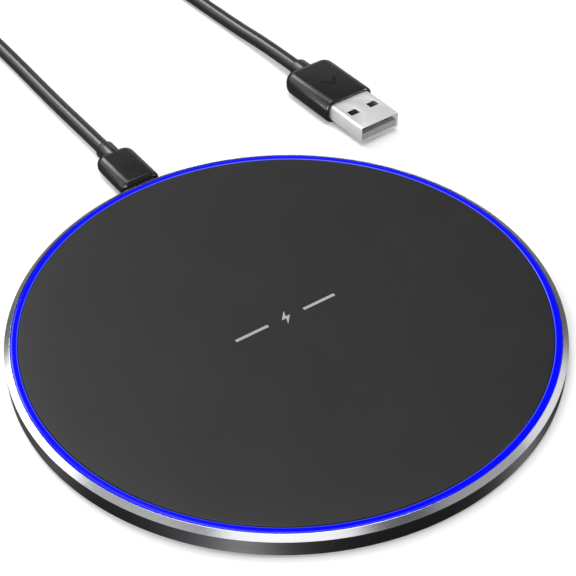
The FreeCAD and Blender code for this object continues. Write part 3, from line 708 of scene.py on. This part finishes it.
shell = box_piece("large_plug_shell", (-SHELL_HALF_WIDTH, SHELL_TIP, AXIS_Z - SHELL_HALF_HEIGHT),
                  (SHELL_HALF_WIDTH, GRIP_FACE + 0.006, AXIS_Z + SHELL_HALF_HEIGHT))
pick(shell, "FACE", lambda f: abs(f.normal.y) > 0.9)
bpy.ops.mesh.delete(type="FACE")
pick(shell, "EDGE", lambda a, b: abs(a.y - b.y) > 0.001)
bpy.ops.mesh.bevel(offset=0.0006, segments=6, affect="EDGES")
modified(shell, "SOLIDIFY", thickness=0.00032, offset=-1)
for x in (-0.0031, 0.0031):
    cut_out(shell, rounded_cutter("window", (x - 0.0014, SHELL_TIP + 0.0058, -0.001),
                                  (x + 0.0014, SHELL_TIP + 0.0080, 0.010), Z_AXIS, radius=0.00025))
modified(shell, "BEVEL", width=0.00007, segments=2, limit_method="ANGLE", angle_limit=math.radians(40))
finished(laid(shell), 35)

# Rolled and plated sheet steel: long faint rolling lines and small cloudy stains.
rolled, group_in, group_out = new_group(
    "rolled_sheet",
    [("Turn", "NodeSocketFloat", 0.0), ("Roughness", "NodeSocketFloat", 0.25),
     ("Spread", "NodeSocketFloat", 0.2), ("Depth", "NodeSocketFloat", 0.1)],
    [("Stain", "NodeSocketFloat"), ("Roughness", "NodeSocketFloat"), ("Normal", "NodeSocketVector")])
place = object_place(rolled)
turner = rolled.nodes.new("ShaderNodeVectorRotate")
turner.rotation_type = "Z_AXIS"
rolled.links.new(place, turner.inputs["Vector"])
rolled.links.new(group_in.outputs["Turn"], turner.inputs["Angle"])
stretch = rolled.nodes.new("ShaderNodeMapping")
stretch.inputs["Scale"].default_value = (9000, 350, 9000)
rolled.links.new(turner.outputs[0], stretch.inputs["Vector"])
grain = noise(rolled, stretch.outputs[0], scale=1, detail=3)
stains = noise(rolled, place, scale=420, detail=4)
both = math_node(rolled, "ADD", math_node(rolled, "MULTIPLY", grain, 0.6),
                 math_node(rolled, "MULTIPLY", stains, 0.4))
rolled.links.new(both, group_out.inputs["Stain"])
rolled.links.new(
    math_node(rolled, "MULTIPLY_ADD", math_node(rolled, "SUBTRACT", both, 0.5),
              group_in.outputs["Spread"], group_in.outputs["Roughness"]), group_out.inputs["Roughness"])
rolled.links.new(bumped(rolled, grain, 0.00001, group_in.outputs["Depth"]), group_out.inputs["Normal"])


def sheet_metal(name, dark, light, roughness=0.25, spread=0.2, depth=0.3, turn=0.0, metallic=1.0):
    """Plated or bare metal with rolling lines and stains, between two colours."""
    material, tree, shader = new_material(name)
    shader.inputs["Metallic"].default_value = metallic
    stained = placed_group(tree, rolled, shader, {
        "Turn": turn, "Roughness": roughness, "Spread": spread, "Depth": depth})
    tree.links.new(mixed_colour(tree, stained["Stain"], dark, light), shader.inputs["Base Color"])
    return material


plated_steel = sheet_metal("plated_steel", (0.56, 0.56, 0.56), (0.78, 0.78, 0.775), roughness=0.36,
                           turn=-LARGE_TURN, metallic=0.5)
shell.data.materials.append(plated_steel)
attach(shell, "lead")
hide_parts("plug_a_shell")

large_grip = grip_block("large_plug_grip", (-LARGE_HALF, GRIP_FACE + 0.0005, 0.00006),
                        (LARGE_HALF, GRIP_END, 0.006735), corner=0.0032, edge=0.0029)
bpy.ops.mesh.inset(thickness=0.0005, depth=0.0005)
bpy.ops.mesh.inset(thickness=0.0005, depth=0)
bpy.ops.mesh.extrude_region_move(TRANSFORM_OT_translate={"value": (0, 0.0016, 0)})
modified(large_grip, "BEVEL", width=0.00020, segments=3, limit_method="ANGLE", angle_limit=math.radians(28))
finished(laid(large_grip), 35)
large_grip.data.materials.append(plug_rubber)
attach(large_grip, "lead")
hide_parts("plug_a_overmould")

large_collar = laid(put(collar("large_plug_collar", 0.00275, 0.0029), (0, GRIP_END, AXIS_Z)))
large_collar.data.materials.append(plug_rubber)
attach(large_collar, "lead")
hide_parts("plug_a_relief")

# The tongue is grey glass-filled nylon, its contacts gold over nickel, and the marks on both
# grips are shallow chevrons filled with matt black paint.
finish_node("plug_a_tongue", plastic(
    "tongue_nylon", (0.20, 0.20, 0.205), grain=0.0003, roughness=0.5, spread=0.1))
gold = sheet_metal("contact_gold", (0.80, 0.55, 0.22), (0.95, 0.72, 0.34), roughness=0.22, depth=0.2)
finish_node("plug_a_contacts", gold)
chevron_paint = plastic("chevron_paint", (0.002, 0.002, 0.002), grain=0.0001, roughness=0.6, depth=0.2,
                        specular=0.15)
finish_node("plug_a_mark", chevron_paint)
finish_node("micro_mark", chevron_paint)
inner_plastic = plastic("inner_mould_pe", (0.62, 0.61, 0.58), grain=0.0006, roughness=0.45)
finish_node("plug_a_inner_mould", inner_plastic)
finish_node("micro_inner_mould", inner_plastic)
finish_node("micro_shell", sheet_metal(
    "plated_steel_small", (0.60, 0.60, 0.60), (0.86, 0.86, 0.85), spread=0.22))
finish_node("micro_insert", plastic("insert_lcp", (0.012, 0.012, 0.012), roughness=0.42))
finish_node("micro_contacts", gold)
finish_node("micro_latches", plated_steel)

# ---------------------------------------------------------------- base

# Black ABS base, moulded with a fine texture; a silicone ring bonded in its groove keeps the pad
# from sliding. Four zinc-plated screws close it, and a blank silver label is stuck in the middle.
finish_node("base_cover", plastic(
    "base_abs", (0.014, 0.014, 0.015), grain=0.0004, roughness=0.48, spread=0.12, depth=0.5))
finish_node("foot_ring", plastic(
    "foot_silicone", (0.055, 0.055, 0.058), grain=0.0003, roughness=0.62, spread=0.1))
finish_node("case_screws", turned_metal(
    "screw_zinc", (0.42, 0.43, 0.45), (0.62, 0.63, 0.66), line_width=0.00012, roughness=0.3,
    spread=0.2, depth=0.3))
finish_node("rating_label", sheet_metal(
    "label_film", (0.42, 0.43, 0.44), (0.56, 0.57, 0.58), roughness=0.4, spread=0.15, depth=0.2,
    metallic=0.6))

# ---------------------------------------------------------------- charging coil

# Flat winding of enamelled copper wire on a sintered ferrite sheet, held up by foam. A glass
# bead in its middle reads its temperature; the winding's ends are soldered to the board.
finish_node("foam_pad", plastic(
    "foam_grey", (0.05, 0.05, 0.052), grain=0.0005, roughness=0.9, spread=0.05, depth=1.0))
finish_node("ferrite_sheet", plastic(
    "ferrite_sintered", (0.030, 0.028, 0.027), grain=0.00025, roughness=0.55, spread=0.2, depth=0.5))
finish_node("reflector_strip", plastic(
    "reflector_film", (0.82, 0.82, 0.82), grain=0.0006, roughness=0.55, depth=0.2))
copper = sheet_metal("enamelled_copper", (0.52, 0.19, 0.075), (0.78, 0.33, 0.14))
for node in ("coil_winding", "coil_leads", "thermistor_leads"):
    finish_node(node, copper)
finish_node("solder_joints", sheet_metal(
    "solder_tin", (0.55, 0.56, 0.57), (0.76, 0.77, 0.78), roughness=0.3, spread=0.3, depth=0.5))
finish_node("thermistor", plastic(
    "bead_glass", (0.30, 0.035, 0.02), grain=0.0004, roughness=0.12, spread=0.05, depth=0.05))

# ---------------------------------------------------------------- circuit board

# Ring-shaped fibreglass board with green solder mask over its copper tracks, and the parts that
# are soldered on it: lamps at its edge, driver chips, capacitors, resistors and a choke.
board_green, tree, shader = new_material("solder_mask")
place = object_place(tree)
tracks = tree.nodes.new("ShaderNodeTexVoronoi")
tracks.feature = "DISTANCE_TO_EDGE"
tracks.inputs["Scale"].default_value = 260
tree.links.new(place, tracks.inputs["Vector"])
copper_below = math_node(tree, "LESS_THAN", tracks.outputs["Distance"], 0.12)
weave = noise(tree, place, scale=1800, detail=2)
mask = math_node(tree, "MULTIPLY_ADD", weave, 0.35,
                 math_node(tree, "MULTIPLY", copper_below, 0.6), clamp=True)
greens = mixed_colour(tree, mask, (0.006, 0.045, 0.018), (0.02, 0.13, 0.045))
tree.links.new(greens, shader.inputs["Base Color"])
tree.links.new(math_node(tree, "MULTIPLY_ADD", weave, 0.2, 0.2), shader.inputs["Roughness"])
tree.links.new(bumped(tree, copper_below, 0.00003, 0.5), shader.inputs["Normal"])
finish_node("main_board", board_green)

finish_node("lamps", plastic("lamp_body", (0.80, 0.80, 0.78), roughness=0.45))
finish_node("lamp_windows", plastic(
    "lamp_silicone", (0.16, 0.24, 0.80), grain=0.0003, roughness=0.2, depth=0.1))
chip_epoxy = plastic(
    "chip_epoxy", (0.016, 0.016, 0.017), grain=0.00014, roughness=0.5, spread=0.15, depth=0.5)
for node in ("controller_chip", "driver_chips", "power_inductor"):
    finish_node(node, chip_epoxy)
ceramic = plastic("capacitor_ceramic", (0.36, 0.24, 0.14), grain=0.0003, roughness=0.4, depth=0.2)
for node in ("resonance_capacitors", "input_capacitors"):
    finish_node(node, ceramic)
finish_node("resistors", plastic(
    "resistor_glaze", (0.02, 0.02, 0.024), grain=0.0003, roughness=0.25, depth=0.1))
tin = sheet_metal("tinned_ends", (0.60, 0.61, 0.62), (0.80, 0.81, 0.82), roughness=0.3, spread=0.3)
for node in ("driver_legs", "chip_ends", "clock_crystal"):
    finish_node(node, tin)

# ---------------------------------------------------------------- socket

# Small USB socket on the board's edge: a folded and plated steel shell with a flared mouth,
# round a black moulded tongue with five contacts.
finish_node("port_shell", plated_steel)
finish_node("port_tongue", plastic("port_lcp", (0.012, 0.012, 0.012), roughness=0.4))
finish_node("port_contacts", gold)
